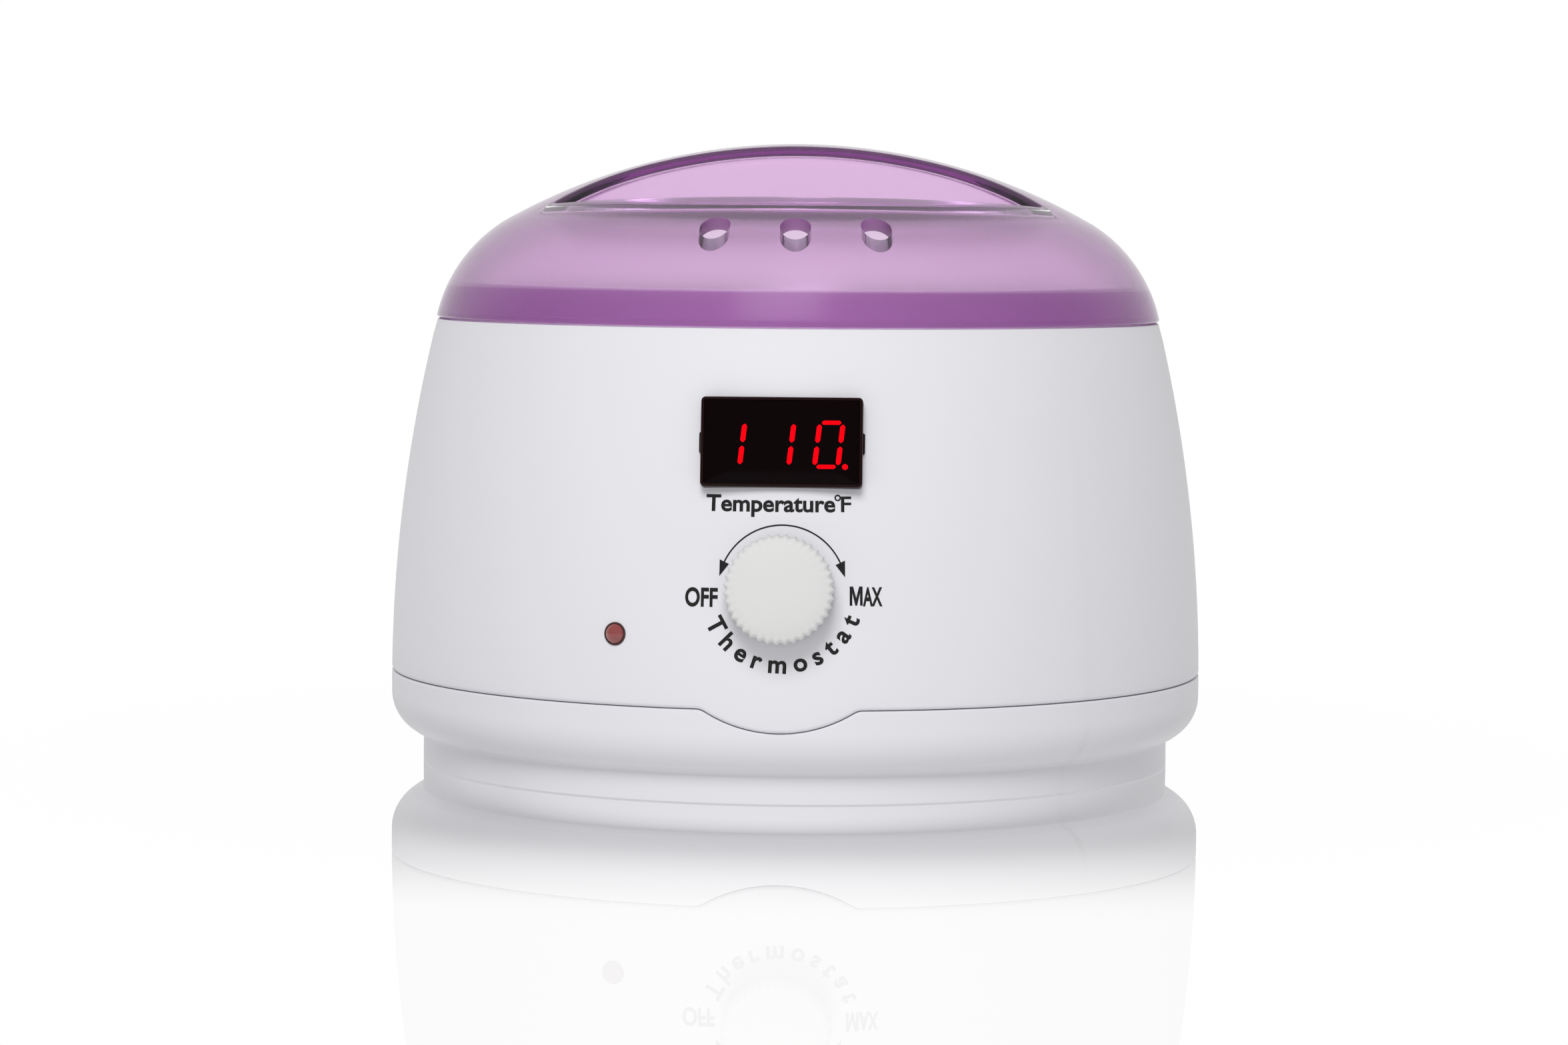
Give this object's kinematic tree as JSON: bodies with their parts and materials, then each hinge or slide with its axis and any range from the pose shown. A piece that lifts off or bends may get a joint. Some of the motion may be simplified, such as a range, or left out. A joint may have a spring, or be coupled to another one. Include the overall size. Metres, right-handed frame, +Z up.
{
  "type": "wax warmer pot",
  "caption": "Round white wax warmer with a domed translucent lid, lift-out wax pan on a bail, front temperature display, serrated thermostat knob and pilot lamp.",
  "frame": {"origin": "centre of the foot ring's lower face, on the pot's axis", "axes": "+Z up along the pot's axis; the display, knob and pilot lamp face -Y; +X is to the right seen from the front"},
  "size_m": [0.175, 0.1846, 0.1334],
  "materials": {
    "shell_plastic": "satin moulded",
    "base_plastic": "satin moulded",
    "collar_plastic": "fine matt",
    "lid_plastic": "clear tinted, polished",
    "knob_plastic": "satin",
    "display_plastic": "polished",
    "display_filter": "polished tinted",
    "digit_light": "lit",
    "led_block": "moulded",
    "lamp_lens": "polished",
    "lamp_ring": "polished",
    "pan_aluminium": "spun",
    "well_aluminium": "drawn",
    "shield_aluminium": "sheet",
    "steel": "bright zinc",
    "bail_steel": "bright drawn wire",
    "brass": "plain",
    "silicone": "moulded",
    "foot_rubber": "moulded",
    "gland_rubber": "moulded",
    "mica": "laminate",
    "felt": "glass fibre felt",
    "board": "solder mask",
    "components": "mixed",
    "phenolic": "moulded",
    "nylon": "moulded",
    "lamp_glass": "moulded",
    "lead_brown": "silicone sleeve",
    "lead_red": "silicone sleeve",
    "lead_black": "sleeve"
  },
  "bodies": {
    "heater": {"outer_shell": "shell_plastic", "base_bowl": "base_plastic", "top_collar": "collar_plastic", "well_gasket": "silicone", "heating_well": "well_aluminium", "well_spacers": "steel", "well_screws": "steel", "heater_band": "mica", "heater_strap": "steel", "strap_screw": "steel", "insulation_sleeve": "felt", "heat_shield": "shield_aluminium", "thermostat_body": "phenolic", "thermostat_blades": "brass", "thermostat_nut": "brass", "display_bezel": "display_plastic", "display_window": "display_filter", "digit_segments": "digit_light", "led_module": "led_block", "display_board": "board", "board_screws": "steel", "indicator_ring": "lamp_ring", "indicator_lens": "lamp_lens", "indicator_lamp": "lamp_glass", "thermal_fuse": "brass", "fuse_clip": "steel", "sensor_probe": "brass", "driver_board": "board", "driver_parts": "components", "terminal_block": "nylon", "cord_gland": "gland_rubber", "cord_clamp": "nylon", "clamp_screws": "steel", "base_screws": "steel", "rubber_feet": "foot_rubber", "mains_leads": "lead_brown", "heater_leads": "lead_red", "sensor_lead": "lead_black"},
    "knob": {"control_knob": "knob_plastic", "thermostat_shaft": "steel"},
    "pan": {"wax_pan": "pan_aluminium", "pan_lugs": "steel", "lug_rivets": "steel"},
    "bail": {"bail_handle": "bail_steel"},
    "lid": {"lid": "lid_plastic"}
  },
  "joints": [
    {"name": "thermostat_turn", "type": "hinge", "parent": "heater", "child": "knob", "pos_m": [0, -0.08639, 0.0439], "axis": [0, 0.9966, -0.0825], "range_deg": [0, 270]},
    {"name": "pan_lift", "type": "slide", "parent": "heater", "child": "pan", "axis": [0, 0, 1], "range_m": [0, 0.09]},
    {"name": "lid_lift", "type": "slide", "parent": "pan", "child": "lid", "axis": [0, 0, 1], "range_m": [0, 0.12]},
    {"name": "bail_swing", "type": "hinge", "parent": "pan", "child": "bail", "pos_m": [0, 0, 0.1003], "axis": [1, 0, 0], "range_deg": [0, 90]}
  ],
  "couplings": [
    {"joint": "bail_swing", "follows": "lid_lift", "rad_per_m": 13.08}
  ]
}
